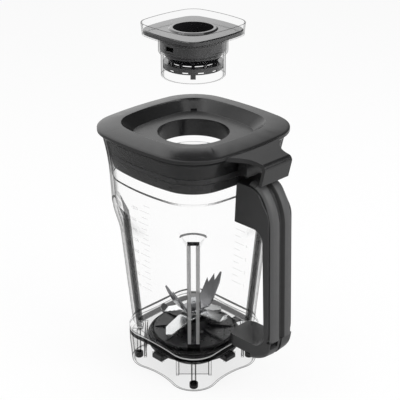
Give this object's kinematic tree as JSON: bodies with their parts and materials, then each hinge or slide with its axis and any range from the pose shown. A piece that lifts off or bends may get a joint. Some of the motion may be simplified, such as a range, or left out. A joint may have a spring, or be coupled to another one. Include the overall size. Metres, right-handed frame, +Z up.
{
  "type": "blender jar",
  "caption": "Clear four-sided blender jar with corner flutes, side handle, dark lid with a lifted vent cap, and a clip-in blade base driven from below.",
  "frame": {"origin": "centre of the skirt's foot, on the drive axis, where the jar sits on its motor base", "axes": "+Z up along the drive axis, +X towards the handle, jar corners on the diagonals"},
  "size_m": [0.21, 0.166, 0.373],
  "materials": {
    "clear_plastic": "clear moulded copolyester",
    "lid_plastic": "fine satin moulded",
    "handle_plastic": "satin moulded",
    "grip_rubber": "soft-touch overmould",
    "seal_rubber": "smooth silicone",
    "insert_plastic": "glossy moulded",
    "carrier_plastic": "satin glass-filled",
    "blade_steel": "hardened stainless, bright",
    "shaft_steel": "ground steel",
    "bearing_steel": "polished bearing steel",
    "foot_rubber": "smooth"
  },
  "bodies": {
    "jar": {"jar_body": "clear_plastic", "corner_feet": "foot_rubber", "handle_frame": "handle_plastic", "handle_grip": "grip_rubber", "handle_screws": "shaft_steel", "lid": "lid_plastic", "lid_gasket": "seal_rubber", "carrier_seal": "seal_rubber", "blade_carrier": "carrier_plastic", "retaining_ring": "carrier_plastic", "lower_bearing_outer": "bearing_steel", "lower_bearing_balls": "bearing_steel", "upper_bearing_outer": "bearing_steel", "upper_bearing_balls": "bearing_steel", "bearing_circlip": "shaft_steel", "shaft_seal": "seal_rubber"},
    "rotor": {"blade_lower": "blade_steel", "blade_middle": "blade_steel", "blade_upper": "blade_steel", "blade_spacers": "shaft_steel", "blade_washer": "shaft_steel", "blade_nut": "shaft_steel", "drive_shaft": "shaft_steel", "bearing_spacer": "shaft_steel", "lower_bearing_inner": "bearing_steel", "upper_bearing_inner": "bearing_steel", "drive_coupler": "shaft_steel"},
    "cap": {"cap_cup": "clear_plastic", "vent_insert": "insert_plastic", "vent_ring": "insert_plastic"}
  },
  "joints": [
    {"name": "blade_spin", "type": "hinge", "parent": "jar", "child": "rotor", "pos_m": [0, 0, 0.05], "axis": [0, 0, 1], "continuous": true},
    {"name": "cap_lift", "type": "slide", "parent": "jar", "child": "cap", "axis": [0, 0, 1], "range_m": [-0.0984, 0]}
  ]
}
